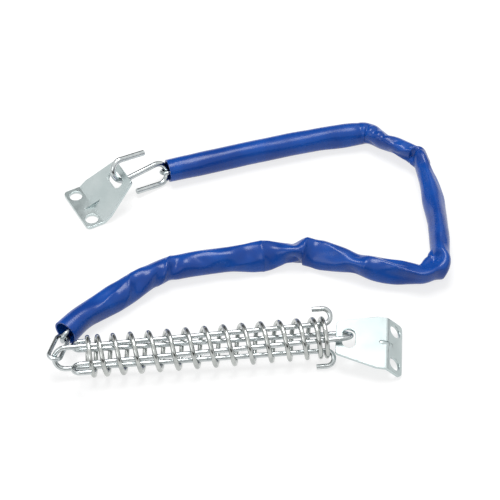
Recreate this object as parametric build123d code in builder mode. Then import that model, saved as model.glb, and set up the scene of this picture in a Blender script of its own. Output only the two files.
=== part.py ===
"""Door crash chain: a spring-loaded limit chain for an outward-opening door.

Two pressed brackets, an open S-hook, a welded link chain in a soft vinyl
sleeve, and a compression spring held between two bent wire drawbars.
The chain lies on the bench as it comes out of its box.

Frame: millimetres, +Z up, bench at Z = 0. The origin is the middle of the
frame bracket's mounting face, and +X runs along the spring's axis.
"""

from build123d import *
from math import atan2, cos, degrees, exp, pi, radians, sin, sqrt, tan
import os

os.makedirs("parts", exist_ok=True)

# Pressed steel brackets, both alike
sheet = 1.5
bracket_width = 28.6
flange_depth = 9.6
flange_corner = 2.2
tongue_length = 23.6
tongue_tip_width = 18.2
tongue_square_part = 5.0
tongue_corner = 2.0
tongue_rise = 38.0
inner_bend_radius = 1.0
screw_hole = 6.4
screw_spacing = 18.4
screw_from_bend = 4.9
slot_length = 11.0
slot_width = 6.0
slot_from_tip = 5.9
rib_width = 3.4
rib_leg = 5.5
dent_width = 2.0
dent_leg = 3.6

# S-hook, bent from round wire
hook_wire = 2.9
hook_bend_radius = 5.3
hook_middle_leg = 17.6
hook_end_leg = 13.2
hook_overbend = 9.0

# Welded chain
link_wire = 2.0
link_inner_width = 3.5
link_inner_length = 16.2
link_count = 27
# Where the first link sits round the chain drawbar's loop, degrees past the rod's end
loop_seat = 70.0
# How far round the S-hook's bend the last link sits, against its face
hook_seat = -9.4
# Over how many links the two end links' own tilt is lost again
untwist_links = 8

# Soft vinyl sleeve
sleeve_outer = 12.7
sleeve_wall = 0.8
chain_above_floor = 0.3

# Compression spring
spring_outer = 19.5
spring_wire = 2.15
spring_pitch = 8.45
spring_turns = 15
spring_closed_gap = 0.55
left_end_opening = 1.1
right_end_opening = 0.75
right_end_closed_turns = 0.6

# Wire drawbars
drawbar_wire = 2.3
rod_clearance = 0.4
hook_reach = 13.0
loop_reach = 5.0
hook_return = 8.2
hook_seat_clearance = 0.3
chain_loop_standout = 13.3
door_loop_standout = 10.2
door_drawbar_slack = 3.8
chain_drawbar_lean_at_hooks = 40.0
chain_drawbar_lean_at_loop = 62.0
door_drawbar_lean_at_hooks = 163.0
door_drawbar_lean_at_loop = 144.0

# Faces round each wire
wire_sides = 6
spring_wire_sides = 5
# Facets of one turn of the coil
coil_facets = 16
link_wire_sides = 5
# The turn that each of a link's bends takes at the ends of its bow, degrees
link_bow_chamfer = 60
sleeve_sides = 12

# How the chain is laid: each link's chord is met by this many corrections of its run
chord_steps = 4

# Where the pieces lie on the bench
spring_start_x = -3.2
spring_axis_y = -104.4
frame_bracket_turn = -66.8
door_bend_middle = Vector(133.8, -109.5, 8.5)
door_bend_line = Vector(-0.175, -0.979, -0.062)
door_flange_uphill = Vector(-0.722, 0.056, 0.692)
hook_centre = Vector(29.1, 12.4, 10.73)
hook_along = Vector(0.858, 0.513, 0.007)
hook_face = Vector(0.458, -0.773, 0.439)

# How the chain lies in the sleeve at a corner of its route
on_floor = 1
in_middle = 0
# The sleeve's centre line on the bench, from the chain loop's mouth to the hook's mouth
sleeve_route = [
    (-11.3, -86.2, in_middle),
    (-3.6, -77.8, on_floor),
    (35.0, -51.2, on_floor),
    (59.1, -47.9, on_floor),
    (85.1, -47.4, on_floor),
    (103.1, -45.8, on_floor),
    (121.0, -53.8, on_floor),
    (140.8, -63.2, on_floor),
    (157.9, -67.6, in_middle),
    (167.2, -60.9, in_middle),
    (170.8, -39.3, on_floor),
    (172.0, -11.3, on_floor),
    (170.8, 13.7, in_middle),
    (160.9, 21.4, in_middle),
    (148.7, 35.2, on_floor),
    (112.6, 31.0, on_floor),
    (43.0, 16.6, on_floor),
]
# The largest share of a run that one of its two bends may take
largest_share = 0.45
# What is left of a leg between two bends that all but meet
least_leg = 0.02

# Sizes that follow
spring_mean_radius = (spring_outer - spring_wire) / 2
spring_height = spring_outer / 2
rod_reach = spring_mean_radius - (spring_wire + drawbar_wire) / 2 - rod_clearance
sleeve_radius = sleeve_outer / 2
sleeve_bore = sleeve_radius - sleeve_wall
link_outer_width = link_inner_width + 2 * link_wire


def beside_axis(x, reach, lean):
    """A point beside the spring's axis, lean degrees up from +Y."""
    y = spring_axis_y + reach * cos(radians(lean))
    z = spring_height + reach * sin(radians(lean))
    return Vector(x, y, z)


def square_to(direction, along):
    """The part of a direction that is square to another, as a unit vector."""
    return (direction - along * direction.dot(along)).normalized()


# The two brackets


def pressed_bracket(frame):
    """A bracket whose mounting face lies in the frame, with the bend on its X axis."""
    side = Plane(frame.origin, x_dir=frame.y_dir, z_dir=frame.x_dir)
    bend_axis = Axis(frame.origin, frame.x_dir)
    tongue = Plane(frame.origin, x_dir=frame.x_dir, z_dir=frame.z_dir.rotate(bend_axis, tongue_rise))
    rise = radians(tongue_rise)
    up_tongue = Vector(cos(rise), sin(rise))
    through = Vector(-sin(rise), cos(rise)) * sheet
    inner_corner = Vector(-sheet * tan(rise / 2), sheet)
    with BuildPart() as bracket:
        with BuildSketch(side) as profile:
            with BuildLine():
                Polyline(
                    (-flange_depth, 0),
                    (0, 0),
                    up_tongue * tongue_length,
                    up_tongue * tongue_length + through,
                    inner_corner,
                    (-flange_depth, sheet),
                    close=True,
                )
            make_face()
            fillet(profile.vertices().sort_by_distance((0, 0))[0], inner_bend_radius + sheet)
            fillet(profile.vertices().sort_by_distance(inner_corner)[0], inner_bend_radius)
        extrude(amount=bracket_width / 2, both=True)
        with BuildSketch(tongue):
            for edge in (-1, 1):
                Polygon(
                    (edge * bracket_width / 2, tongue_square_part),
                    (edge * bracket_width, tongue_square_part),
                    (edge * bracket_width, tongue_length),
                    (edge * tongue_tip_width / 2, tongue_length),
                    align=None,
                )
            with Locations((0, tongue_length - slot_from_tip)):
                SlotOverall(slot_length, slot_width)
        extrude(amount=2 * sheet, both=True, mode=Mode.SUBTRACT)
        with BuildSketch(frame):
            with Locations((0, -screw_from_bend)):
                with GridLocations(screw_spacing, 0, 2, 1):
                    Circle(screw_hole / 2)
        extrude(amount=2 * sheet, both=True, mode=Mode.SUBTRACT)
        upright = bracket.edges().filter_by(Axis(frame.origin, frame.z_dir))
        fillet(upright.group_by(Axis(frame.origin, frame.y_dir))[0], flange_corner)
        square = bracket.edges().filter_by(Axis(tongue.origin, tongue.z_dir))
        fillet(square.group_by(Axis(tongue.origin, tongue.y_dir))[-1], tongue_corner)
        with BuildSketch(side):
            Polygon((-rib_leg, sheet), (0, sheet / 2), up_tongue * rib_leg + through, align=None)
        extrude(amount=rib_width / 2, both=True)
        with BuildSketch(side):
            Polygon((-dent_leg, 0), (0, -sheet), up_tongue * dent_leg, align=None)
        extrude(amount=dent_width / 2, both=True, mode=Mode.SUBTRACT)
    return bracket.part


frame_bend = Plane.XY.rotated((0, 0, frame_bracket_turn))
frame_bend.origin = frame_bend.y_dir * (flange_depth / 2)
bracket_frame = pressed_bracket(frame_bend)
bracket_frame.label = "bracket_frame"
export_step(bracket_frame, "parts/bracket_frame.step")

door_bend = Plane(door_bend_middle, x_dir=door_bend_line, z_dir=door_bend_line.cross(door_flange_uphill))
bracket_door = pressed_bracket(door_bend)
bracket_door.label = "bracket_door"
export_step(bracket_door, "parts/bracket_door.step")


# The S-hook

hook_plane = Plane(hook_centre, x_dir=hook_along, z_dir=hook_face)
with BuildPart() as s_hook:
    with BuildLine(hook_plane) as hook_route:
        start = (-hook_middle_leg / 2, 0)
        end = (hook_middle_leg / 2, 0)
        Line(start, end)
        chain_bend = JernArc(end, (1, 0), hook_bend_radius, -180 - hook_overbend)
        Line(chain_bend @ 1, chain_bend @ 1 + hook_end_leg * (chain_bend % 1))
        bracket_bend = JernArc(start, (-1, 0), hook_bend_radius, -180 - hook_overbend)
        Line(bracket_bend @ 1, bracket_bend @ 1 + hook_end_leg * (bracket_bend % 1))
    hook_wire_line = hook_route.wires()[0]
    with BuildSketch(Plane(hook_wire_line @ 0, z_dir=hook_wire_line % 0)):
        RegularPolygon(hook_wire / 2, wire_sides)
    sweep(path=hook_wire_line)
s_hook.part.label = "s_hook"
export_step(s_hook.part, "parts/s_hook.step")


# The compression spring


def coil_pitch(turn):
    """The pitch at a turn: close at both ends and opening out towards the middle."""
    from_start = turn / left_end_opening
    from_end = (spring_turns - turn - right_end_closed_turns) / right_end_opening
    opened = 1 - exp(-min(from_start, from_end))
    return max(spring_pitch * opened, spring_wire + spring_closed_gap)


coil_steps = spring_turns * coil_facets
coil_centre_x = [spring_start_x + spring_wire / 2]
for step in range(coil_steps):
    coil_centre_x.append(coil_centre_x[-1] + coil_pitch((step + 0.5) / coil_facets) / coil_facets)
spring_end_x = coil_centre_x[-1] + spring_wire / 2


def coil_point(step):
    """A point on the coil's centre line, so many facets on from its start under the axis."""
    return beside_axis(coil_centre_x[step], spring_mean_radius, 360 * step / coil_facets - 90)


with BuildPart() as compression_spring:
    with BuildLine() as coil:
        Polyline([coil_point(step) for step in range(coil_steps + 1)])
    coil_wire = coil.wires()[0]
    with BuildSketch(Plane(coil_wire @ 0, z_dir=coil_wire % 0)):
        RegularPolygon(spring_wire / 2, spring_wire_sides)
    sweep(path=coil_wire, transition=Transition.RIGHT)
compression_spring.part.label = "compression_spring"
export_step(compression_spring.part, "parts/compression_spring.step")


def gap_between_turns():
    """The least gap of the wire to its own next turn, measured on points of its centre line."""
    centres = [coil_point(step) for step in range(coil_steps + 1)]
    gaps = []
    for step, centre in enumerate(centres):
        next_turn = centres[step + coil_facets // 2:step + coil_facets + coil_facets // 2]
        gaps += [(other - centre).length for other in next_turn]
    return min(gaps) - spring_wire


print("spring's least gap to itself", round(gap_between_turns(), 3))


# The two drawbars

def drawbar_points(hook_x, hook_lean, loop_x, loop_lean):
    """The corners of a drawbar, from one hook's end round the closed loop to the other hook's end."""
    back = hook_return if loop_x > hook_x else -hook_return
    corners = []
    for half in (0, 180):
        hook_side = [
            beside_axis(hook_x + back, hook_reach, hook_lean + half),
            beside_axis(hook_x, hook_reach, hook_lean + half),
            beside_axis(hook_x, rod_reach, hook_lean + half),
            beside_axis(loop_x, loop_reach, loop_lean + half),
        ]
        corners += hook_side if half == 0 else reversed(hook_side)
    return corners


def drawbar_radii():
    """The bends at the drawbar's corners: two in each hook, two in the loop."""
    hook_bend = (hook_reach - rod_reach) / 2 - least_leg
    loop_bend = loop_reach - least_leg
    return [hook_bend, hook_bend, loop_bend, loop_bend, hook_bend, hook_bend]


wire_contact = (spring_wire + drawbar_wire) / 2
chain_drawbar_hook_x = spring_end_x - spring_wire / 2 + wire_contact + hook_seat_clearance
chain_loop_x = spring_start_x - chain_loop_standout
door_drawbar_hook_x = spring_start_x + spring_wire / 2 - wire_contact - door_drawbar_slack
door_loop_x = spring_end_x + door_loop_standout

with BuildPart() as drawbar_chain:
    with BuildLine() as chain_bar:
        corners = drawbar_points(
            chain_drawbar_hook_x, chain_drawbar_lean_at_hooks, chain_loop_x, chain_drawbar_lean_at_loop
        )
        FilletPolyline(corners, radius=drawbar_radii())
    chain_bar_wire = chain_bar.wires()[0]
    with BuildSketch(Plane(chain_bar_wire @ 0, z_dir=chain_bar_wire % 0)):
        RegularPolygon(drawbar_wire / 2, wire_sides)
    sweep(path=chain_bar_wire)
drawbar_chain.part.label = "drawbar_chain"
export_step(drawbar_chain.part, "parts/drawbar_chain.step")

with BuildPart() as drawbar_door:
    with BuildLine() as door_bar:
        corners = drawbar_points(
            door_drawbar_hook_x, door_drawbar_lean_at_hooks, door_loop_x, door_drawbar_lean_at_loop
        )
        FilletPolyline(corners, radius=drawbar_radii())
    door_bar_wire = door_bar.wires()[0]
    with BuildSketch(Plane(door_bar_wire @ 0, z_dir=door_bar_wire % 0)):
        RegularPolygon(drawbar_wire / 2, wire_sides)
    sweep(path=door_bar_wire)
drawbar_door.part.label = "drawbar_door"
export_step(drawbar_door.part, "parts/drawbar_door.step")


# The vinyl sleeve

def corner_turn(before, corner, after):
    """The turn of a route at a corner, in degrees."""
    return (corner - before).get_angle(after - corner)


def route_radii(points):
    """The bend at each inner corner of a route: as large as its two runs allow."""
    radii = []
    for before, corner, after in zip(points, points[1:], points[2:]):
        shorter = min((corner - before).length, (after - corner).length)
        half_turn = radians(corner_turn(before, corner, after)) / 2
        radii.append(largest_share * shorter / tan(half_turn))
    return radii


sleeve_points = [Vector(x, y, sleeve_radius) for x, y, _ in sleeve_route]
sleeve_radii = route_radii(sleeve_points)
flat_down = 180 / sleeve_sides
with BuildPart() as vinyl_sleeve:
    with BuildLine() as sleeve_line:
        FilletPolyline(sleeve_points, radius=sleeve_radii)
    sleeve_wire = sleeve_line.wires()[0]
    with BuildSketch(Plane(sleeve_wire @ 0, z_dir=sleeve_wire % 0)):
        RegularPolygon(sleeve_radius, sleeve_sides, major_radius=False, rotation=flat_down)
        RegularPolygon(sleeve_bore, sleeve_sides, major_radius=False, rotation=flat_down, mode=Mode.SUBTRACT)
    sweep(path=sleeve_wire)
vinyl_sleeve.part.label = "vinyl_sleeve"
export_step(vinyl_sleeve.part, "parts/vinyl_sleeve.step")
polygon_share = sleeve_sides * tan(pi / sleeve_sides)
sleeve_section = polygon_share * (sleeve_radius**2 - sleeve_bore**2)
print("sleeve's bends, least radius", round(min(sleeve_radii), 2), "all", [round(r, 1) for r in sleeve_radii])
print("sleeve volume", round(vinyl_sleeve.part.volume, 1), "section times length", end=" ")
print(round(sleeve_section * sleeve_wire.length, 1), "length", round(sleeve_wire.length, 1))


# The chain

# It lies in the sleeve's bottom
chain_drop = sleeve_bore - link_outer_width / 2 - chain_above_floor

loop_centre_x = chain_loop_x + loop_reach
loop_outward = beside_axis(0, 1, chain_drawbar_lean_at_loop) - beside_axis(0, 0, chain_drawbar_lean_at_loop)
round_the_loop = radians(loop_seat)
first_seat = beside_axis(
    loop_centre_x - loop_reach * sin(round_the_loop),
    loop_reach * cos(round_the_loop),
    chain_drawbar_lean_at_loop,
)
loop_tangent = Vector(cos(round_the_loop), 0, 0) + loop_outward * sin(round_the_loop)

hook_across = hook_face.cross(hook_along)
hook_bend_centre = hook_centre + hook_along * (hook_middle_leg / 2) - hook_across * hook_bend_radius
round_the_hook = radians(hook_seat)
to_last_seat = hook_along * cos(round_the_hook) + hook_across * sin(round_the_hook)
last_seat = hook_bend_centre + to_last_seat * hook_bend_radius

inside_sleeve = [Vector(x, y, sleeve_radius - chain_drop * share) for x, y, share in sleeve_route]
chain_points = [first_seat, *inside_sleeve[:-1], last_seat]
with BuildLine() as chain_line:
    FilletPolyline(chain_points, radius=route_radii(chain_points))
chain_wire = chain_line.wires()[0]


def place_at(run):
    """The place on the chain's line at a length from its start."""
    return chain_wire.position_at(min(run, chain_wire.length), position_mode=PositionMode.LENGTH)


def link_spans(slack):
    """What each link spans of the chain's line.

    Every other link stands on edge and spans its own two bends; a link that lies
    flat spans the two wires it holds, which leave it the slack.
    """
    on_edge = link_inner_length + link_wire
    flat = link_inner_length - link_wire - slack
    at_loop = link_inner_length - (drawbar_wire + link_wire) / 2 - slack
    at_hook = link_inner_length - (hook_wire + link_wire) / 2 - slack
    inner = [on_edge if number % 2 else flat for number in range(1, link_count - 1)]
    return [at_loop, *inner, at_hook]


def lay_links(slack):
    """The places where the links meet along the chain's line, and the run of the last one."""
    places = [first_seat]
    run = 0
    for span in link_spans(slack):
        run += span
        for _ in range(chord_steps):
            run += span - (place_at(run) - places[-1]).length
        places.append(place_at(run))
    return places, run


flat_links = (link_count + 1) // 2
link_slack = link_wire
for _ in range(chord_steps):
    meetings, chain_run = lay_links(link_slack)
    link_slack += (chain_run - chain_wire.length) / flat_links
meetings, chain_run = lay_links(link_slack)
print("chain line", round(chain_wire.length, 2), "slack of a flat link", round(link_slack, 3))


def upright_to(along):
    """The direction square to a link that is nearest to straight up."""
    return square_to(Vector(0, 0, 1), along)


def roll_of(face, along):
    """How far a link's face is rolled from upright, in degrees, counted about its length."""
    upright = upright_to(along)
    square_face = square_to(face, along)
    sideways = along.cross(upright)
    roll = degrees(atan2(square_face.dot(sideways), square_face.dot(upright)))
    return (roll + 90) % 180 - 90


def chain_link(frame):
    """A welded link in a frame whose X runs along it and whose Z is square to its face."""
    bend_radius = (link_inner_width + link_wire) / 2
    half_leg = (link_inner_length - link_inner_width) / 2
    bow_half_width = bend_radius * tan(radians(link_bow_chamfer) / 2)
    far = half_leg + bend_radius
    corners = []
    for end in (1, -1):
        corners += [
            (0, -end * bend_radius),
            (end * half_leg, -end * bend_radius),
            (end * far, -end * bow_half_width),
            (end * far, end * bow_half_width),
            (end * half_leg, end * bend_radius),
        ]
    with BuildPart() as link:
        with BuildLine(frame):
            route = Polyline(corners, close=True)
        with BuildSketch(Plane(route @ 0, x_dir=frame.z_dir, z_dir=route % 0)):
            RegularPolygon(link_wire / 2, link_wire_sides)
        sweep(path=route, transition=Transition.RIGHT)
    return link.part


first_roll = roll_of(loop_tangent, (meetings[1] - meetings[0]).normalized())
last_roll = roll_of(hook_across, (meetings[-1] - meetings[-2]).normalized())
for number in range(link_count):
    near, far = meetings[number], meetings[number + 1]
    along = (far - near).normalized()
    first_share = max(1 - number / untwist_links, 0)
    last_share = max(1 - (link_count - 1 - number) / untwist_links, 0)
    roll = 90 * number + first_roll * first_share + last_roll * last_share
    face = upright_to(along).rotate(Axis((0, 0, 0), along), roll)
    middle = (near + far) / 2
    if number == 0:
        middle += along * (link_wire - drawbar_wire) / 4
    if number == link_count - 1:
        middle += along * (hook_wire - link_wire) / 4
    link = chain_link(Plane(middle, x_dir=along, z_dir=face))
    link.label = f"chain_link_{number + 1:02d}"
    export_step(link, f"parts/{link.label}.step")
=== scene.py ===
"""Door crash chain, dressed: zinc plated steel and a soft blue vinyl sleeve.

The sizes and places are those of the solids, in the shared frame: +Z up, bench
at Z = 0, the origin in the middle of the frame bracket's mounting face and +X
along the spring's axis. They are in metres unless a class or a name says
millimetres. Each sub-assembly is a class, and main() builds them in order.
"""

from __future__ import annotations

import logging
import math
from dataclasses import dataclass, field
from enum import Enum
from typing import Any, Iterable, Sequence

import bmesh
import bpy
import numpy as np
from mathutils import Matrix, Vector, noise

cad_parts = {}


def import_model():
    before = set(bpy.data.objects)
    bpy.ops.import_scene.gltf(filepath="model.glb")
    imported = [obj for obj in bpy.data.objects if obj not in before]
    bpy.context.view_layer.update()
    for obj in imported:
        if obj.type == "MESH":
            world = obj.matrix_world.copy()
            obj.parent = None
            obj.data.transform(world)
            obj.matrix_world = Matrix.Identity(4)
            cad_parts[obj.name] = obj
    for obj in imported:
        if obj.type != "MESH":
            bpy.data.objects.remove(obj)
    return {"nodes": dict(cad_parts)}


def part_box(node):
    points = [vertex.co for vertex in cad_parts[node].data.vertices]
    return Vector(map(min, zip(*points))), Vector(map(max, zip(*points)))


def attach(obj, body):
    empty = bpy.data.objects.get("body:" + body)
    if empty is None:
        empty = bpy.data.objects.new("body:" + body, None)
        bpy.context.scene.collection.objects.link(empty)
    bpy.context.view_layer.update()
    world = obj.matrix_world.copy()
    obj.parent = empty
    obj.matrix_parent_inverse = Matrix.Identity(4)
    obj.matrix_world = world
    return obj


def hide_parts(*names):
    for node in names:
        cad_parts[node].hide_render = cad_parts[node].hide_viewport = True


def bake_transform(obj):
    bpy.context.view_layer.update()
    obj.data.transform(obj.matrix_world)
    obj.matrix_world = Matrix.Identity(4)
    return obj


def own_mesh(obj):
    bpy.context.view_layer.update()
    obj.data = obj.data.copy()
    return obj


log = logging.getLogger("door_chain")

MM = 0.001
# The least straight run between two bends of a wire, and between two points of a path
LEAST_RUN = 0.02 * MM
# The colour sockets of a Mix node, whose names its other kinds share
MIX_FIRST_COLOUR, MIX_SECOND_COLOUR, MIX_COLOUR = 6, 7, 2


def mm(x: float, y: float, z: float) -> Vector:
    """A point given in millimetres, in metres."""
    return Vector((x, y, z)) * MM


# Node trees


def add_node(
    tree: bpy.types.NodeTree, kind: str, inputs: dict[Any, Any] | None = None, **settings: Any
) -> bpy.types.Node:
    """Adds one node with its settings, and links or values on its inputs.

    Args:
        tree: the material or geometry tree.
        kind: the node's type name.
        inputs: socket name or number to a value, or to the output socket that feeds it.
        settings: the node's own properties.

    Returns:
        The new node.
    """
    node = tree.nodes.new(kind)
    for name, value in settings.items():
        setattr(node, name, value)
    for name, value in (inputs or {}).items():
        if isinstance(value, bpy.types.NodeSocket):
            tree.links.new(value, node.inputs[name])
        else:
            node.inputs[name].default_value = value
    return node


def linear(hex_colour: str) -> tuple[float, float, float, float]:
    """Turns a written sRGB colour to linear light.

    Args:
        hex_colour: the colour in six digits, such as "1f47a5".

    Returns:
        Red, green and blue as linear light, with full alpha.
    """
    channels = [int(hex_colour[i:i + 2], 16) / 255 for i in (0, 2, 4)]
    light = [c / 12.92 if c <= 0.04045 else ((c + 0.055) / 1.055) ** 2.4 for c in channels]
    return (light[0], light[1], light[2], 1.0)


def empty_material(name: str) -> tuple[bpy.types.Material, bpy.types.NodeTree]:
    """A new material with no node in it yet.

    Args:
        name: the material's name.

    Returns:
        The material and its tree.
    """
    material = bpy.data.materials.new(name)
    material.use_nodes = True
    material.node_tree.nodes.clear()
    return material, material.node_tree


def shader_tree(name: str) -> tuple[bpy.types.Material, bpy.types.NodeTree, bpy.types.Node]:
    """An empty material with its surface shader joined to the output.

    Args:
        name: the material's name.

    Returns:
        The material, its tree and the surface shader.
    """
    material, tree = empty_material(name)
    shader = add_node(tree, "ShaderNodeBsdfPrincipled")
    add_node(tree, "ShaderNodeOutputMaterial", {"Surface": shader.outputs["BSDF"]})
    return material, tree, shader


def clouds(
    tree: bpy.types.NodeTree, place: bpy.types.NodeSocket, size_mm: float, detail: float, roughness: float,
    levels: tuple[float, float], span: tuple[float, float] = (0.0, 1.0),
) -> bpy.types.NodeSocket:
    """Lays soft clouds over a piece, their middle levels stretched over a span.

    Args:
        tree: the material's tree.
        place: the object's coordinates, in metres.
        size_mm: the size of the largest clouds.
        detail: how many finer layers they have.
        roughness: how strong the finer layers are.
        levels: the two levels of the clouds that are stretched.
        span: what those two levels become.

    Returns:
        The clouds' value.
    """
    cloud = add_node(tree, "ShaderNodeTexNoise", {
        "Vector": place, "Scale": 1 / (size_mm * MM), "Detail": detail, "Roughness": roughness})
    stretched = add_node(tree, "ShaderNodeMapRange", {
        "Value": cloud.outputs["Fac"], "From Min": levels[0], "From Max": levels[1],
        "To Min": span[0], "To Max": span[1]})
    return stretched.outputs["Result"]


def fine_relief(
    tree: bpy.types.NodeTree, place: bpy.types.NodeSocket, size_mm: float, detail: float, roughness: float,
    strength: float, depth_mm: float,
) -> bpy.types.NodeSocket:
    """Lays a relief over a piece that is too fine for its mesh.

    Args:
        tree: the material's tree.
        place: the object's coordinates, in metres.
        size_mm: the size of its grain.
        detail: how many finer layers it has.
        roughness: how strong the finer layers are.
        strength: how much of it the light sees.
        depth_mm: its depth.

    Returns:
        The surface's normal with the relief in it.
    """
    grain = add_node(tree, "ShaderNodeTexNoise", {
        "Vector": place, "Scale": 1 / (size_mm * MM), "Detail": detail, "Roughness": roughness})
    bump = add_node(tree, "ShaderNodeBump", {
        "Height": grain.outputs["Fac"], "Strength": strength, "Distance": depth_mm * MM})
    return bump.outputs["Normal"]


def dress_shader(
    tree: bpy.types.NodeTree, shader: bpy.types.Node, tones: tuple[str, str], share: bpy.types.NodeSocket,
    polish: bpy.types.NodeSocket, normal: bpy.types.NodeSocket,
) -> None:
    """Joins a finish's two tones, its polish and its relief to its shader.

    Args:
        tree: the material's tree.
        shader: the surface shader.
        tones: the deep and the light tone, as sRGB.
        share: how much of the light tone there is at each place.
        polish: the roughness at each place.
        normal: the normal with the relief.
    """
    colour = add_node(tree, "ShaderNodeMix", {
        "Factor": share, MIX_FIRST_COLOUR: linear(tones[0]), MIX_SECOND_COLOUR: linear(tones[1])},
        data_type="RGBA")
    tree.links.new(colour.outputs[MIX_COLOUR], shader.inputs["Base Color"])
    tree.links.new(polish, shader.inputs["Roughness"])
    tree.links.new(normal, shader.inputs["Normal"])


@dataclass(frozen=True)
class ZincFinish:
    """Bright zinc plate: a cool grey metal whose polish varies in faint clouds and fine drawn lines."""

    name: str
    colour: str
    deep_colour: str
    polish: float
    dullest: float
    cloud_mm: float
    line_mm: float
    line_depth_mm: float
    marks_share: float = 0.35

    def build(self) -> bpy.types.Material:
        """Builds the material on the object's own coordinates.

        Returns:
            The material.
        """
        material, tree, shader = shader_tree(self.name)
        place = add_node(tree, "ShaderNodeTexCoord").outputs["Object"]
        # Clouds of the plating bath: they make broad reflections look alive, not printed
        bath = clouds(tree, place, size_mm=self.cloud_mm, detail=3.0, roughness=0.55, levels=(0.35, 0.7))
        # Grease and handling marks: the polish changes over a few millimetres
        handled = clouds(
            tree, place, size_mm=self.cloud_mm * self.marks_share, detail=4.0, roughness=0.6,
            levels=(0.3, 0.75), span=(self.polish, self.dullest))
        # Drawn and rolled lines break the edge of each reflection, here coarser than real ones, to show at all
        lines = fine_relief(
            tree, place, size_mm=self.line_mm, detail=2.0, roughness=0.7,
            strength=0.35, depth_mm=self.line_depth_mm)
        dress_shader(tree, shader, (self.deep_colour, self.colour), bath, handled, lines)
        shader.inputs["Metallic"].default_value = 1.0
        return material


@dataclass(frozen=True)
class VinylFinish:
    """Soft blue vinyl: a glossy skin over a deep colour, with a faint grain from the extruder."""

    name: str
    colour: str
    deep_colour: str
    gloss: float
    dullest: float
    cloud_mm: float
    grain_mm: float
    grain_depth_mm: float
    rubbed_share: float = 0.5
    specular: float = 0.34

    def build(self) -> bpy.types.Material:
        """Builds the material on the object's own coordinates.

        Returns:
            The material.
        """
        material, tree, shader = shader_tree(self.name)
        place = add_node(tree, "ShaderNodeTexCoord").outputs["Object"]
        # Thicker and thinner places of the tube: the blue is a little deeper where it is thick
        thick = clouds(tree, place, size_mm=self.cloud_mm, detail=2.0, roughness=0.5, levels=(0.35, 0.65))
        # Rubbed places lose their gloss, so the highlight is not the same all along
        rubbed = clouds(
            tree, place, size_mm=self.cloud_mm * self.rubbed_share, detail=4.0, roughness=0.6,
            levels=(0.35, 0.75), span=(self.gloss, self.dullest))
        # Fine grain softens the highlight's edge as on soft vinyl, here coarser than a real one, to show at all
        grain = fine_relief(
            tree, place, size_mm=self.grain_mm, detail=3.0, roughness=0.6,
            strength=0.3, depth_mm=self.grain_depth_mm)
        dress_shader(tree, shader, (self.deep_colour, self.colour), thick, rubbed, grain)
        shader.inputs["Specular IOR Level"].default_value = self.specular
        return material


class Finish(Enum):
    """The finishes of this chain."""

    # Zinc on cold rolled sheet, pressed: broad, soft reflections with a cool cast
    BRACKET = ZincFinish(
        "zinc_on_pressed_sheet", colour="c9d3d3", deep_colour="bdc9c9", polish=0.29, dullest=0.36,
        cloud_mm=16.0, line_mm=0.3, line_depth_mm=0.006)
    # Zinc on drawn wire: a narrow bright line along each bend
    WIRE = ZincFinish(
        "zinc_on_drawn_wire", colour="cdd2d2", deep_colour="b3babb", polish=0.14, dullest=0.26,
        cloud_mm=5.0, line_mm=0.25, line_depth_mm=0.006)
    # Zinc on hard spring wire: a shade darker and warmer than the drawbars
    SPRING = ZincFinish(
        "zinc_on_spring_wire", colour="c6c9c6", deep_colour="adb1af", polish=0.15, dullest=0.27,
        cloud_mm=4.0, line_mm=0.22, line_depth_mm=0.006)
    # Zinc on welded links, tumbled together: small dull places between bright ones
    CHAIN = ZincFinish(
        "zinc_on_welded_link", colour="ccd1d2", deep_colour="aeb6b8", polish=0.16, dullest=0.3,
        cloud_mm=3.0, line_mm=0.22, line_depth_mm=0.008)
    # Plasticised vinyl from the extruder: a deep blue under a soft, broad gloss
    VINYL = VinylFinish(
        "blue_soft_vinyl", colour="084aa2", deep_colour="063c8e", gloss=0.23, dullest=0.32,
        cloud_mm=14.0, grain_mm=0.5, grain_depth_mm=0.003)


@dataclass
class Workshop:
    """What every sub-assembly is built with: the solids, the wire's tree and the finishes."""

    solids: dict[str, bpy.types.Object]
    wire: bpy.types.NodeTree
    finished: dict[Finish, bpy.types.Material] = field(default_factory=dict)

    def of(self, finish: Finish) -> bpy.types.Material:
        """The material of a finish, built at its first use.

        Args:
            finish: the finish.

        Returns:
            Its material.
        """
        if finish not in self.finished:
            self.finished[finish] = finish.value.build()
        return self.finished[finish]


# Geometry trees


def new_tree(name: str, inputs: Iterable[tuple[str, str]]) -> tuple[bpy.types.NodeTree, bpy.types.Node]:
    """A geometry tree with named inputs and one geometry output.

    Args:
        name: the tree's name.
        inputs: name and socket type of each input after the geometry.

    Returns:
        The tree and its input node.
    """
    tree = bpy.data.node_groups.new(name, "GeometryNodeTree")
    tree.interface.new_socket("Geometry", in_out="INPUT", socket_type="NodeSocketGeometry")
    for label, kind in inputs:
        tree.interface.new_socket(label, in_out="INPUT", socket_type=kind)
    tree.interface.new_socket("Geometry", in_out="OUTPUT", socket_type="NodeSocketGeometry")
    return tree, add_node(tree, "NodeGroupInput")


def close_tree(
    tree: bpy.types.NodeTree, geometry: bpy.types.NodeSocket, finish: bpy.types.NodeSocket
) -> None:
    """Ends a tree in smooth shading, real geometry and the finish.

    Args:
        tree: the tree.
        geometry: what it has made.
        finish: the material input.
    """
    smooth = add_node(tree, "GeometryNodeSetShadeSmooth", {"Geometry": geometry})
    real = add_node(tree, "GeometryNodeRealizeInstances", {"Geometry": smooth.outputs[0]})
    dressed = add_node(tree, "GeometryNodeSetMaterial", {"Geometry": real.outputs[0], "Material": finish})
    add_node(tree, "NodeGroupOutput", {0: dressed.outputs[0]})


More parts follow.
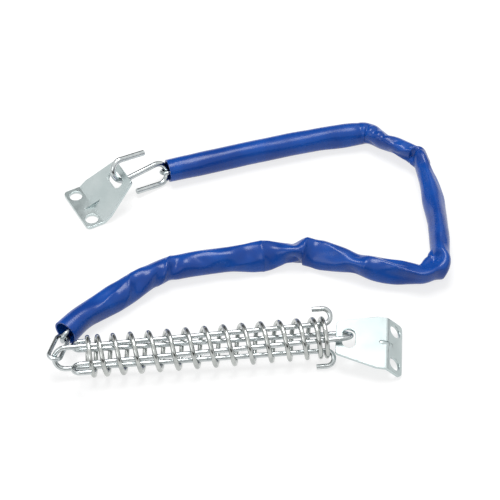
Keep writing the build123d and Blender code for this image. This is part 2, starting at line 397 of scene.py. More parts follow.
def wire_tree() -> bpy.types.NodeTree:
    """Round wire swept along the path it is given, with closed ends.

    Returns:
        The tree.
    """
    tree, given = new_tree("round wire along its path", [
        ("Wire radius", "NodeSocketFloat"), ("Sides", "NodeSocketInt"), ("Finish", "NodeSocketMaterial")])
    path = add_node(tree, "GeometryNodeMeshToCurve", {"Mesh": given.outputs["Geometry"]})
    section = add_node(tree, "GeometryNodeCurvePrimitiveCircle", {
        "Resolution": given.outputs["Sides"], "Radius": given.outputs["Wire radius"]})
    wire = add_node(tree, "GeometryNodeCurveToMesh", {
        "Curve": path.outputs[0], "Profile Curve": section.outputs[0], "Fill Caps": True})
    close_tree(tree, wire.outputs[0], given.outputs["Finish"])
    return tree


def link_tree() -> bpy.types.NodeTree:
    """A welded link on each point, turned as the point's "turn" says.

    Returns:
        The tree.
    """
    tree, given = new_tree("welded link on each point", [
        ("Link length", "NodeSocketFloat"), ("Link width", "NodeSocketFloat"),
        ("Bend radius", "NodeSocketFloat"), ("Bend facets", "NodeSocketInt"),
        ("Wire radius", "NodeSocketFloat"), ("Sides", "NodeSocketInt"), ("Finish", "NodeSocketMaterial")])
    outline = add_node(tree, "GeometryNodeCurvePrimitiveQuadrilateral", {
        "Width": given.outputs["Link length"], "Height": given.outputs["Link width"]}, mode="RECTANGLE")
    bent = add_node(tree, "GeometryNodeFilletCurve", {
        "Curve": outline.outputs[0], "Count": given.outputs["Bend facets"],
        "Radius": given.outputs["Bend radius"]}, mode="POLY")
    section = add_node(tree, "GeometryNodeCurvePrimitiveCircle", {
        "Resolution": given.outputs["Sides"], "Radius": given.outputs["Wire radius"]})
    link = add_node(tree, "GeometryNodeCurveToMesh", {
        "Curve": bent.outputs[0], "Profile Curve": section.outputs[0]})
    turn = add_node(tree, "GeometryNodeInputNamedAttribute", {"Name": "turn"}, data_type="FLOAT_VECTOR")
    links = add_node(tree, "GeometryNodeInstanceOnPoints", {
        "Points": given.outputs["Geometry"], "Instance": link.outputs[0], "Rotation": turn.outputs[0]})
    close_tree(tree, links.outputs[0], given.outputs["Finish"])
    return tree


def grown(
    name: str, seed: bpy.types.Mesh, tree: bpy.types.NodeTree, values: dict[str, Any]
) -> bpy.types.Object:
    """Runs a geometry tree on a seed mesh and keeps the result as a plain mesh.

    Args:
        name: the piece's name.
        seed: the path or points that the tree starts from.
        tree: the geometry tree.
        values: the tree's inputs by name.

    Returns:
        The piece, with no modifier left on it.
    """
    holder = bpy.data.objects.new(f"{name}_seed", seed)
    bpy.context.collection.objects.link(holder)
    modifier = holder.modifiers.new("grow", "NODES")
    modifier.node_group = tree
    identifiers = {
        item.name: item.identifier for item in tree.interface.items_tree
        if item.item_type == "SOCKET" and item.in_out == "INPUT"}
    for label, value in values.items():
        modifier[identifiers[label]] = value
    holder.update_tag()
    graph = bpy.context.evaluated_depsgraph_get()
    mesh = bpy.data.meshes.new_from_object(holder.evaluated_get(graph))
    mesh.name = name
    bpy.data.objects.remove(holder)
    piece = bpy.data.objects.new(name, mesh)
    bpy.context.collection.objects.link(piece)
    return piece


def path_mesh(name: str, points: Sequence[Vector]) -> bpy.types.Mesh:
    """A path as a mesh of edges, ready for a geometry tree.

    Args:
        name: the mesh's name.
        points: the path.

    Returns:
        The mesh.
    """
    mesh = bpy.data.meshes.new(name)
    mesh.from_pydata([tuple(p) for p in points], [(i, i + 1) for i in range(len(points) - 1)], [])
    return mesh


def dressed_mesh(name: str, mesh: bpy.types.Mesh, material: bpy.types.Material) -> bpy.types.Object:
    """Puts a finished mesh in the scene as a piece.

    Args:
        name: the piece's name.
        mesh: its mesh, in place.
        material: its material.

    Returns:
        The piece, with smooth faces.
    """
    mesh.materials.clear()
    mesh.materials.append(material)
    mesh.polygons.foreach_set("use_smooth", [True] * len(mesh.polygons))
    piece = bpy.data.objects.new(name, mesh)
    bpy.context.collection.objects.link(piece)
    return piece


def softened(piece: bpy.types.Object, width: float, least_angle: float, segments: int = 2) -> None:
    """Rounds a piece's sharp edges in place, so that they catch the light.

    Args:
        piece: the piece.
        width: the rounding's width, in metres.
        least_angle: the least angle of an edge that is rounded, in degrees.
        segments: facets of the rounding.
    """
    rounding = piece.modifiers.new("edges", "BEVEL")
    rounding.width = width
    rounding.segments = segments
    rounding.limit_method = "ANGLE"
    rounding.angle_limit = math.radians(least_angle)
    rounding.harden_normals = True
    rounding.use_clamp_overlap = True
    flats = piece.modifiers.new("flats", "WEIGHTED_NORMAL")
    flats.keep_sharp = True
    flats.weight = 80
    graph = bpy.context.evaluated_depsgraph_get()
    mesh = bpy.data.meshes.new_from_object(
        piece.evaluated_get(graph), preserve_all_data_layers=True, depsgraph=graph)
    piece.modifiers.clear()
    piece.data = mesh


# Paths


def rounded_path(corners: Sequence[Vector], radii: Sequence[float], facet: float = 6.0) -> list[Vector]:
    """A path of straight runs joined by true arcs at its inner corners.

    Args:
        corners: the corners, ends included.
        radii: the bend at each inner corner, in metres.
        facet: the turn of one facet of an arc, in degrees.

    Returns:
        The path's points.
    """
    points = [corners[0].copy()]
    for before, corner, after, radius in zip(corners, corners[1:], corners[2:], radii):
        arrive = (corner - before).normalized()
        leave = (after - corner).normalized()
        turn = arrive.angle(leave)
        across = (leave - arrive * arrive.dot(leave)).normalized()
        start = corner - arrive * radius * math.tan(turn / 2)
        centre = start + across * radius
        steps = max(2, math.ceil(math.degrees(turn) / facet))
        for step in range(steps + 1):
            angle = turn * step / steps
            points.append(centre - across * radius * math.cos(angle) + arrive * radius * math.sin(angle))
    points.append(corners[-1].copy())
    kept = [points[0]]
    for point in points[1:]:
        if (point - kept[-1]).length > LEAST_RUN:
            kept.append(point)
    return kept


def evenly(points: Sequence[Vector], spacing: float) -> list[Vector]:
    """The same path with its points at an even spacing.

    Args:
        points: the path.
        spacing: about how far apart the new points are.

    Returns:
        The new points, both ends included.
    """
    lengths = [0.0]
    for a, b in zip(points, points[1:]):
        lengths.append(lengths[-1] + (b - a).length)
    count = max(2, round(lengths[-1] / spacing))
    array = np.array([tuple(p) for p in points])
    at = np.linspace(0.0, lengths[-1], count + 1)
    columns = [np.interp(at, lengths, array[:, axis]) for axis in range(3)]
    return [Vector(row) for row in zip(*columns)]


# Brackets


@dataclass
class PressedBracket:
    """A bent sheet bracket: a flange with two screw holes and a slotted tongue, with a pressed gusset."""

    node: str
    body: str
    bend_middle: Vector
    bend_line: Vector
    up_flange: Vector
    sheet: float = 1.5 * MM
    tongue_rise: float = 38.0
    edge_round: float = 0.16 * MM
    least_edge: float = 30.0
    merged_within: float = 0.002 * MM
    flat_within: float = 0.4
    gusset_leg: float = 3.6 * MM
    gusset_width: float = 3.4 * MM
    gusset_depth: float = 1.5 * MM
    gusset_sunk: float = 0.7 * MM
    gusset_end_sunk: float = 0.3 * MM
    gusset_top_lean: float = 0.2
    gusset_fullness: float = 2.4
    gusset_least: float = 0.04
    gusset_stations: int = 14
    gusset_facets: int = 12

    def plate(self, solid: bpy.types.Object) -> bpy.types.Mesh:
        """Joins the bracket's solid to one mesh, without the facets' double points.

        Args:
            solid: the bracket's solid.

        Returns:
            The new mesh.
        """
        shape = bmesh.new()
        shape.from_mesh(solid.data)
        bmesh.ops.remove_doubles(shape, verts=shape.verts, dist=self.merged_within)
        bmesh.ops.dissolve_limit(
            shape, angle_limit=math.radians(self.flat_within), verts=shape.verts, edges=shape.edges,
            use_dissolve_boundaries=False)
        bmesh.ops.recalc_face_normals(shape, faces=shape.faces)
        clean = bpy.data.meshes.new(f"{self.node}_plate")
        shape.to_mesh(clean)
        shape.free()
        return clean

    def gusset(self) -> bpy.types.Mesh:
        """Makes the pressed gusset in the bend: a rounded rib whose two ends run out into the sheet.

        Returns:
            The closed mesh.
        """
        along = self.bend_line.normalized()
        out = along.cross(self.up_flange).normalized()
        flange = -self.up_flange.normalized()
        rise = math.radians(self.tongue_rise)
        tongue = (-flange) * math.cos(rise) + out * math.sin(rise)
        root = self.bend_middle + out * self.sheet
        foot = root + flange * self.gusset_leg - out * self.gusset_end_sunk
        top = root + tongue * self.gusset_leg - (flange * self.gusset_top_lean + out) * self.gusset_end_sunk
        bulge = (foot.lerp(top, 0.5) - root).normalized()
        shape = bmesh.new()
        rings: list[list[bmesh.types.BMVert]] = []
        for station in range(self.gusset_stations + 1):
            share = station / self.gusset_stations
            middle = foot.lerp(top, share) - bulge * self.gusset_sunk
            swell = math.sqrt(max(1 - abs(2 * share - 1) ** self.gusset_fullness, 0.0))
            swell = max(swell, self.gusset_least)
            ring = []
            for facet in range(self.gusset_facets):
                angle = 2 * math.pi * facet / self.gusset_facets
                across = along * math.cos(angle) * self.gusset_width / 2 * swell
                deep = bulge * math.sin(angle) * self.gusset_depth * swell
                ring.append(shape.verts.new(middle + across + deep))
            rings.append(ring)
        for near, far in zip(rings, rings[1:]):
            for facet in range(self.gusset_facets):
                after = (facet + 1) % self.gusset_facets
                shape.faces.new((near[facet], near[after], far[after], far[facet]))
        shape.faces.new(list(reversed(rings[0])))
        shape.faces.new(rings[-1])
        bmesh.ops.recalc_face_normals(shape, faces=shape.faces)
        mesh = bpy.data.meshes.new(f"{self.node}_gusset")
        shape.to_mesh(mesh)
        shape.free()
        return mesh

    def build(self, shop: Workshop) -> list[bpy.types.Object]:
        """Builds and dresses the bracket.

        Args:
            shop: the solids and the finishes.

        Returns:
            The plate and its gusset.
        """
        zinc = shop.of(Finish.BRACKET)
        plate = dressed_mesh(f"{self.node}_plate", self.plate(shop.solids[self.node]), zinc)
        softened(plate, self.edge_round, self.least_edge)
        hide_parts(self.node)
        rib = dressed_mesh(f"{self.node}_gusset", self.gusset(), zinc)
        for piece in (plate, rib):
            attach(piece, self.body)
        return [plate, rib]


def frame_bracket(turn: float = -66.8, bend_up: float = 4.8 * MM) -> PressedBracket:
    """The frame bracket, its flange flat on the bench round the origin.

    Args:
        turn: the bend's direction from +X, in degrees.
        bend_up: from the middle of the mounting face up to the bend.

    Returns:
        The bracket.
    """
    angle = math.radians(turn)
    up = Vector((-math.sin(angle), math.cos(angle), 0.0))
    line = Vector((math.cos(angle), math.sin(angle), 0.0))
    return PressedBracket(
        "bracket_frame", "frame_plate", bend_middle=up * bend_up, bend_line=line, up_flange=up)


def door_bracket() -> PressedBracket:
    """The door bracket, tipped up as the drawbar's loop in its slot holds it."""
    return PressedBracket(
        "bracket_door", "door_plate", bend_middle=mm(133.8, -109.5, 8.5),
        bend_line=Vector((-0.175, -0.979, -0.062)), up_flange=Vector((-0.722, 0.056, 0.692)))


# Bent wires


@dataclass
class BentWire:
    """A piece of round wire bent along a path, its sheared ends slightly rounded."""

    name: str
    body: str
    node: str
    slot: str
    finish: Finish
    diameter: float
    path: list[Vector]
    sides: int = 20
    end_round: float = 0.25 * MM
    least_edge: float = 60.0

    def build(self, shop: Workshop) -> bpy.types.Object:
        """Sweeps, dresses and hands over the wire.

        Args:
            shop: the finishes and the wire's tree.

        Returns:
            The piece.
        """
        piece = grown(self.name, path_mesh(self.name, self.path), shop.wire, {
            "Wire radius": self.diameter / 2, "Sides": self.sides, "Finish": shop.of(self.finish)})
        softened(piece, self.end_round, self.least_edge)
        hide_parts(self.node)
        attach(piece, self.body)
        return piece


@dataclass
class SHook:
    """The open S-hook: a middle leg and two bends that turn a little past square."""

    centre: Vector = field(default_factory=lambda: mm(29.1, 12.4, 10.73))
    along: Vector = field(default_factory=lambda: Vector((0.858, 0.513, 0.007)))
    face: Vector = field(default_factory=lambda: Vector((0.458, -0.773, 0.439)))
    wire: float = 2.9 * MM
    bend_radius: float = 5.3 * MM
    middle_leg: float = 17.6 * MM
    end_leg: float = 13.2 * MM
    overbend: float = 9.0
    bend_facets: int = 36
    sides: int = 24

    def path(self) -> list[Vector]:
        """The wire's path.

        Returns:
            Its points, from the bracket's end to the chain's end.
        """
        along = self.along.normalized()
        face = (self.face - along * self.face.dot(along)).normalized()
        across = face.cross(along)
        turn = math.radians(180 + self.overbend)
        half = self.middle_leg / 2
        points: list[Vector] = []
        for side in (-1, 1):
            heading = along * side
            inward = -across * side
            bend_start = self.centre + heading * half
            bend_centre = bend_start + inward * self.bend_radius
            arc = []
            for step in range(self.bend_facets + 1):
                angle = turn * step / self.bend_facets
                arc.append(bend_centre - inward * self.bend_radius * math.cos(angle)
                           + heading * self.bend_radius * math.sin(angle))
            leave = heading * math.cos(turn) + inward * math.sin(turn)
            arc.append(arc[-1] + leave * self.end_leg)
            points = list(reversed(arc)) if side < 0 else points + arc
        return points

    def build(self, shop: Workshop) -> bpy.types.Object:
        """Builds the hook on its body.

        Args:
            shop: the finishes and the wire's tree.

        Returns:
            The piece.
        """
        hook = BentWire(
            "s_hook_wire", body="hook", node="s_hook", slot="wire_zinc", finish=Finish.WIRE,
            diameter=self.wire, path=self.path(), sides=self.sides)
        return hook.build(shop)


@dataclass
class SpringUnit:
    """The compression spring and the two bent drawbars that squeeze it from its far ends."""

    axis_y: float = -104.4 * MM
    outer: float = 19.5 * MM
    wire: float = 2.15 * MM
    start_x: float = -3.2 * MM
    turns: int = 15
    pitch: float = 8.45 * MM
    closed_gap: float = 0.55 * MM
    left_opening: float = 1.1
    right_opening: float = 0.75
    right_closed_turns: float = 0.6
    bar_wire: float = 2.3 * MM
    bar_bend_facet: float = 5.0
    rod_clearance: float = 0.4 * MM
    hook_reach: float = 13.0 * MM
    loop_reach: float = 5.0 * MM
    hook_return: float = 8.2 * MM
    hook_seat_clearance: float = 0.3 * MM
    chain_loop_standout: float = 13.3 * MM
    door_loop_standout: float = 10.2 * MM
    door_slack: float = 3.8 * MM
    chain_lean_at_hooks: float = 40.0
    chain_lean_at_loop: float = 62.0
    door_lean_at_hooks: float = 163.0
    door_lean_at_loop: float = 144.0
    # The pitch changes in as many steps as the solid's, and the drawn coil has finer ones
    steps_per_turn: int = 16
    drawn_per_turn: int = 48
    coil_sides: int = 16
    stroke_keep: float = 0.52

    @property
    def mean_radius(self) -> float:
        """From the axis to the middle of the spring's wire."""
        return (self.outer - self.wire) / 2

    @property
    def end_x(self) -> float:
        """The spring's far end."""
        return self.centres_x()[-1] + self.wire / 2

    def beside(self, x: float, reach: float, lean: float) -> Vector:
        """A point beside the spring's axis, lean degrees up from +Y."""
        angle = math.radians(lean)
        return Vector((x, self.axis_y + reach * math.cos(angle), self.outer / 2 + reach * math.sin(angle)))

    def pitch_at(self, turn: float) -> float:
        """The pitch along the coil: close at both ends and opening out towards the middle.

        Args:
            turn: how many turns from the start.

        Returns:
            The pitch there.
        """
        from_start = turn / self.left_opening
        from_end = (self.turns - turn - self.right_closed_turns) / self.right_opening
        opened = 1 - math.exp(-min(from_start, from_end))
        return max(self.pitch * opened, self.wire + self.closed_gap)

    def centres_x(self) -> list[float]:
        """Where the coil's wire is along the axis.

        Returns:
            Its middle at each of its steps.
        """
        places = [self.start_x + self.wire / 2]
        for step in range(self.turns * self.steps_per_turn):
            pitch = self.pitch_at((step + 0.5) / self.steps_per_turn)
            places.append(places[-1] + pitch / self.steps_per_turn)
        return places

    def coil_path(self) -> list[Vector]:
        """The coil's centre line.

        Returns:
            Its points, from the start under the axis.
        """
        places = self.centres_x()
        known = np.arange(len(places)) / self.steps_per_turn
        points = []
        for step in range(self.turns * self.drawn_per_turn + 1):
            turn = step / self.drawn_per_turn
            x = float(np.interp(turn, known, places))
            points.append(self.beside(x, self.mean_radius, 360 * turn - 90))
        return points

    def bar_path(self, hook_x: float, hook_lean: float, loop_x: float, loop_lean: float) -> list[Vector]:
        """A drawbar's path, from one hook's end round the closed loop to the other hook's end.

        Args:
            hook_x: where the hooks are along the axis.
            hook_lean: the first hook's direction from +Y, in degrees.
            loop_x: where the loop's end is along the axis.
            loop_lean: the loop's direction from +Y, in degrees.

        Returns:
            The path's points.
        """
        rod_reach = self.mean_radius - (self.wire + self.bar_wire) / 2 - self.rod_clearance
        back = self.hook_return if loop_x > hook_x else -self.hook_return
        corners: list[Vector] = []
        for half in (0, 180):
            side = [
                self.beside(hook_x + back, self.hook_reach, hook_lean + half),
                self.beside(hook_x, self.hook_reach, hook_lean + half),
                self.beside(hook_x, rod_reach, hook_lean + half),
                self.beside(loop_x, self.loop_reach, loop_lean + half),
            ]
            corners += side if half == 0 else list(reversed(side))
        hook_bend = (self.hook_reach - rod_reach) / 2 - LEAST_RUN
        loop_bend = self.loop_reach - LEAST_RUN
        bends = [hook_bend, hook_bend, loop_bend, loop_bend, hook_bend, hook_bend]
        return rounded_path(corners, bends, self.bar_bend_facet)

    def drawbar(self, name: str, body: str, node: str, path: list[Vector]) -> BentWire:
        """One of the two drawbars, ready to build."""
        return BentWire(name, body, node, "wire_zinc", Finish.WIRE, self.bar_wire, path)

    def build(self, shop: Workshop) -> list[bpy.types.Object]:
        """Builds the spring and both drawbars.

        Args:
            shop: the finishes and the wire's tree.

        Returns:
            The three pieces.
        """
        coil_wire = BentWire(
            "coil_wire", body="spring_unit", node="compression_spring", slot="spring_zinc",
            finish=Finish.SPRING, diameter=self.wire, path=self.coil_path(), sides=self.coil_sides)
        coil = coil_wire.build(shop)
        anchor = self.beside(self.end_x, 0.0, 0.0)
        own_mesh(coil)
        contact = (self.wire + self.bar_wire) / 2
        chain_hooks_x = self.end_x - self.wire / 2 + contact + self.hook_seat_clearance
        door_hooks_x = self.start_x + self.wire / 2 - contact - self.door_slack
        chain_loop_x = self.start_x - self.chain_loop_standout
        door_loop_x = self.end_x + self.door_loop_standout
        chain_path = self.bar_path(
            chain_hooks_x, self.chain_lean_at_hooks, chain_loop_x, self.chain_lean_at_loop)
        door_path = self.bar_path(
            door_hooks_x, self.door_lean_at_hooks, door_loop_x, self.door_lean_at_loop)
        chain_bar = self.drawbar("chain_drawbar_wire", "spring_unit", "drawbar_chain", chain_path).build(shop)
        door_bar = self.drawbar("door_drawbar_wire", "door_bar", "drawbar_door", door_path).build(shop)
        return [coil, chain_bar, door_bar]


# Chain


@dataclass
class WeldedChain:
    """The chain of welded links, laid where its solids lie, in one piece for each body."""

    wire: float = 2.0 * MM
    inner_width: float = 3.5 * MM
    inner_length: float = 16.2 * MM
    sides: int = 14
    bend_facets: int = 9
    runs: dict[str, range] = field(default_factory=lambda: {
        "spring_unit": range(1, 2), "lower_run": range(2, 14), "middle_run": range(14, 19),
        "upper_run": range(19, 28)})

    def place_of(self, solid: bpy.types.Object) -> tuple[Vector, Vector]:
        """Where a link lies, read off its solid's points.

        Args:
            solid: the link's solid.

        Returns:
            The middle, and the turn as Euler angles, X along the link and Z square to its face.
        """
        points = np.unique(np.round(np.array([v.co for v in solid.data.vertices], float), 6), axis=0)
        middle = points.mean(axis=0)
        _, axes = np.linalg.eigh(np.cov((points - middle).T))
        along, face = Vector(axes[:, 2]), Vector(axes[:, 0])
        turn = Matrix((along, face.cross(along), face)).transposed().to_euler()
        return Vector(middle), Vector(turn)

    def build(self, shop: Workshop) -> list[bpy.types.Object]:
        """Builds each run of links.

        Args:
            shop: the solids and the finishes.

        Returns:
            One piece for each run.
        """
        tree = link_tree()
        pieces = []
        width = self.inner_width + self.wire
        for body, numbers in self.runs.items():
            nodes = [f"chain_link_{number:02d}" for number in numbers]
            places = [self.place_of(shop.solids[node]) for node in nodes]
            seed = bpy.data.meshes.new(f"{body}_link_places")
            seed.from_pydata([tuple(middle) for middle, _ in places], [], [])
            turns = seed.attributes.new("turn", "FLOAT_VECTOR", "POINT")
            turns.data.foreach_set("vector", [c for _, turn in places for c in turn])
            piece = grown(f"{body}_links", seed, tree, {
                "Link length": self.inner_length + self.wire, "Link width": width,
                "Bend radius": width / 2 - LEAST_RUN, "Bend facets": self.bend_facets,
                "Wire radius": self.wire / 2, "Sides": self.sides, "Finish": shop.of(Finish.CHAIN)})
            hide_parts(*nodes)
            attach(piece, body)
            pieces.append(piece)
        return pieces


# Sleeve

# How fast a keen edge falls off beside its crest
KEENNESS = 1.4
# A crease ends this many of its lengths from its place
CREASE_END = 3.5


class Edge(Enum):
    """Whether a crease falls off keenly round the sleeve, and whether it does so along it."""

    SOFT = (False, False)
    LONG = (True, False)
    CROSS = (False, True)
    POINT = (True, True)


@dataclass(frozen=True)
class Crease:
    """One dent, ridge or fold of the sleeve.

    Place and length run along the sleeve in millimetres from the chain loop's
    mouth. Clock is the side it is on: 0 faces the viewer, 90 the inside of the
    sleeve's bends and -90 their outside. A ridge has a negative depth. Skew
    turns the crease round the sleeve, in degrees for each millimetre along it.
    """

    place: float
    clock: float
    depth: float
    length: float
    spread: float
    skew: float = 0.0
    edge: Edge = Edge.SOFT

    def depth_at(self, run: float, clock: float) -> float:
        """How far the skin is pressed in at a place.

        Args:
            run: the place along the sleeve, in millimetres.
            clock: the place round it, in degrees.

        Returns:
            The depth, in millimetres.
        """
        along = (run - self.place) / self.length
        if abs(along) > CREASE_END:
            return 0.0
        off = (clock - self.clock - self.skew * (run - self.place) + 180) % 360 - 180
        across = abs(off) / self.spread
        keen_round, keen_along = self.edge.value
        fall = math.exp(-across * KEENNESS) if keen_round else math.exp(-across * across)
        rise = math.exp(-KEENNESS * abs(along)) if keen_along else math.exp(-along * along)
        return self.depth * rise * fall


@dataclass(frozen=True)
class Section:
    """One cross section of the sleeve: its middle, its directions and half its width and depth."""

    middle: Vector
    tangent: Vector
    inside: Vector
    facing: Vector
    broad: float
    deep: float


Skins = tuple[list[Vector], list[Vector]]


@dataclass
class VinylSleeve:
    """The soft tube over the chain: flattened, dented and folded as the photograph shows it.

    Its sizes, places and creases are in millimetres, and only its finished
    mesh is in metres.
    """

    radius: float = 6.2
    wall: float = 0.8
    spacing: float = 0.75
    facets: int = 56
    widest: float = 14.6
    narrowest: float = 8.4
    least_depth: float = 4.0
    width_blend: float = 2.2
    waviness: float = 0.2
    waves_per_mm: float = 0.09
    above_bench: float = 0.02
    # How the line that it follows bends
    largest_share: float = 0.45
    tightest_seen: float = 6.0
    fold_turn: float = 28.0
    bend_facet: float = 2.0
    tangent_span: int = 2
    # How it keeps outside the links: what each ring looks at, and how gently it gives way
    clear: float = 0.08
    give: float = 0.25
    link_step: float = 0.5
    slice_half: float = 0.7
    looks_out: float = 8.0
    least_reach: float = 0.8
    fan_spokes: int = 72
    grazing: float = 0.1
    neighbours: int = 2
    # Where its two halves meet, and two places on each half's fold, which the build reads but does not use
    split_run: float = 232.0
    lower_fold: tuple[tuple[float, float, float], ...] = ((172, -45, 6), (147, -66, 6))
    upper_fold: tuple[tuple[float, float, float], ...] = ((172, -4, 6), (150, 33, 6))
    view: Vector = field(default_factory=lambda: Vector((0.0737, 0.691, -0.719)))
    # The line's corners, from the chain loop's mouth to the S-hook's
    route: tuple[tuple[float, float], ...] = (
        (-11.3, -86.2), (-3.6, -77.8), (35.0, -51.2), (59.1, -47.9), (85.1, -47.4), (103.1, -45.8),
        (121.0, -53.8), (140.8, -63.2), (157.9, -67.6), (167.0, -63.0), (170.6, -39.3), (172.0, -11.3),
        (170.2, 14.6), (160.9, 21.6), (146.4, 34.3), (112.6, 31.0), (43.0, 16.6))
    # Place and seen width at each station of the photograph
    widths: tuple[tuple[float, float, float], ...] = (
        (-11.2, -84.6, 12.2), (-1.3, -77.3, 11.6), (10.6, -68.3, 13.2), (19.4, -62.1, 13.0),
        (29.4, -54.9, 10.9), (38.0, -50.6, 11.8), (54.9, -48.4, 11.9), (68.7, -47.7, 12.1),
        (78.7, -47.0, 16.1), (87.3, -47.3, 14.8), (96.5, -47.0, 9.6), (100.2, -45.3, 8.3),
        (104.4, -46.0, 13.3), (111.9, -50.6, 14.8), (119.6, -54.0, 12.2), (128.1, -56.4, 9.8),
        (135.8, -59.8, 11.7), (147.5, -64.3, 11.5), (158.0, -67.6, 8.6), (164.7, -65.7, 7.6),
        (167.3, -58.6, 8.6), (169.3, -48.0, 9.6), (171.0, -35.9, 9.7), (171.9, -18.5, 11.3),
        (171.3, -5.9, 9.5), (171.1, 7.5, 7.1), (169.9, 15.5, 7.6), (164.0, 18.8, 8.1), (156.9, 26.4, 8.8),
        (146.8, 35.7, 11.3), (135.4, 33.8, 12.3), (123.6, 32.9, 11.8), (102.1, 29.0, 11.7),
        (80.7, 25.0, 11.8), (59.5, 19.7, 11.7), (42.4, 14.9, 11.4))
    creases: tuple[Crease, ...] = (
        # Soft dents between the chain loop and the first ridge
        Crease(22, 35, 0.9, 9, 34), Crease(16, -60, 0.6, 10, 30, 0.8),
        Crease(27, 15, -0.6, 9, 15, 2.0, Edge.LONG), Crease(37.5, 10, -1.0, 5.0, 15, 11.0, Edge.LONG),
        Crease(42.5, 0, 1.8, 3.6, 36, 5.0), Crease(33, 45, 1.0, 4.0, 30, 5.0),
        Crease(47, 65, -0.6, 4.0, 26),
        # The slanted fold half way to the ridge
        Crease(58.5, 5, -1.2, 4.6, 15, 16.0, Edge.LONG), Crease(64, 15, 1.9, 3.6, 38, 7.0),
        Crease(53, -15, 1.1, 4.0, 34, 6.0), Crease(60, -88, 0.9, 3.0, 30),
        Crease(76, 15, 1.0, 5.0, 28, -3.0), Crease(81, 50, -0.6, 5.0, 18, -3.0, Edge.LONG),
        Crease(88, -20, 0.8, 6.0, 30, 2.0),
        # The blunt ridge across, and the hollows beside it
        Crease(106.5, 0, -1.2, 2.2, 75, 0, Edge.CROSS), Crease(99, 25, 1.4, 4.0, 45),
        Crease(113, -15, 1.5, 4.0, 50), Crease(114, 60, 0.8, 5.0, 30),
        Crease(95, -30, -0.4, 9.0, 12, 2.2, Edge.LONG),
        # The deep fold and the sharp ridge behind it
        Crease(121.5, -85, 2.8, 3.0, 46, 0, Edge.POINT), Crease(119.5, -35, 1.8, 2.8, 32),
        Crease(123, 70, 1.0, 2.6, 34), Crease(127.5, 0, -1.5, 2.0, 85, 0, Edge.CROSS),
        Crease(132, 15, 1.4, 2.8, 55), Crease(142, 5, 1.3, 6.5, 34, 0.8),
        Crease(139, 50, -0.8, 7.0, 11, -2.6, Edge.LONG),
        # The saddle and the long twisted edge that runs to the lower corner
        Crease(153, 55, 1.5, 4.0, 38), Crease(152, -50, 1.1, 4.5, 34),
        Crease(158.5, 5, -0.9, 2.6, 48, 0, Edge.CROSS), Crease(173, 24, -1.5, 13.0, 15, -2.2, Edge.LONG),
        Crease(171, 62, 1.4, 10.0, 22, -1.9), Crease(176, -24, 1.3, 11.0, 26, -1.2),
        Crease(168, -75, -0.5, 9.0, 26),
        # The lower corner
        Crease(192, 90, 2.6, 3.0, 40, 0, Edge.POINT), Crease(188, 38, 1.2, 3.0, 24, -4.0),
        Crease(195, 48, 1.1, 2.6, 24), Crease(192, -75, -2.0, 4.0, 40, 0, Edge.CROSS),
        Crease(193, -40, -0.8, 2.4, 26, 0, Edge.CROSS),
        # The upright run: a soft ridge down its middle
        Crease(226, 2, -0.6, 16, 18), Crease(222, 48, 0.7, 14, 26), Crease(236, -52, 0.7, 16, 28),
        Crease(204, -12, 0.7, 4.0, 24, 3.0), Crease(250, 30, 0.8, 8.0, 26, 1.6),
        Crease(252, -38, 0.8, 8.0, 26, 1.6),
        # The twisted neck at the upper corner
        Crease(260, 20, 1.1, 4.0, 30, 4.0), Crease(264, -20, -0.5, 6.0, 18, 4.0, Edge.LONG),
        Crease(270.5, 85, 2.0, 2.8, 42, 0, Edge.POINT), Crease(269, 10, 1.5, 1.7, 80, 0, Edge.CROSS),
        Crease(260, -85, 1.4, 7.0, 40), Crease(276, -40, 1.3, 3.6, 28, 6.0),
        Crease(280, 30, -0.9, 4.6, 13, 6.0, Edge.LONG), Crease(285, 80, 1.3, 3.0, 34),
        Crease(284, -20, 1.1, 3.2, 26, 3.0),
        # Fine cross-wrinkles at the first bend after the straight upper run
        Crease(291.5, -30, 0.9, 1.2, 60, 0, Edge.CROSS), Crease(294.2, -30, -0.5, 1.0, 46),
        Crease(296.8, -30, 0.9, 1.1, 50, 0, Edge.CROSS), Crease(299.4, -25, -0.5, 1.0, 44),
        Crease(302, -20, 0.9, 1.2, 50, 0, Edge.CROSS), Crease(304.6, -20, -0.4, 1.2, 40),
        Crease(307, 0, 0.8, 1.4, 70, 0, Edge.CROSS), Crease(299, 75, 1.8, 3.6, 40, 0, Edge.LONG),
        Crease(292, -80, 1.4, 4.0, 40),
        # The straight upper run
        Crease(322, 30, 0.5, 10, 30), Crease(345, -40, 0.4, 14, 34), Crease(372, 35, 0.4, 16, 30),
        Crease(398, -20, 0.3, 8, 30))

    def centre_line(self) -> list[Vector]:
        """The sleeve's middle line on the bench: the solid's, with its folds drawn tighter.

        Returns:
            Its points at an even spacing.
        """
        corners = [Vector((x, y, 0.0)) for x, y in self.route]
        radii = []
        for before, corner, after in zip(corners, corners[1:], corners[2:]):
            shorter = min((corner - before).length, (after - corner).length)
            turn = (corner - before).angle(after - corner)
            radius = self.largest_share * shorter / math.tan(turn / 2)
            folded = math.degrees(turn) > self.fold_turn
            radii.append(min(radius, self.tightest_seen) if folded else radius)
        path = rounded_path([c * MM for c in corners], [r * MM for r in radii], self.bend_facet)
        return [p / MM for p in evenly(path, self.spacing * MM)]

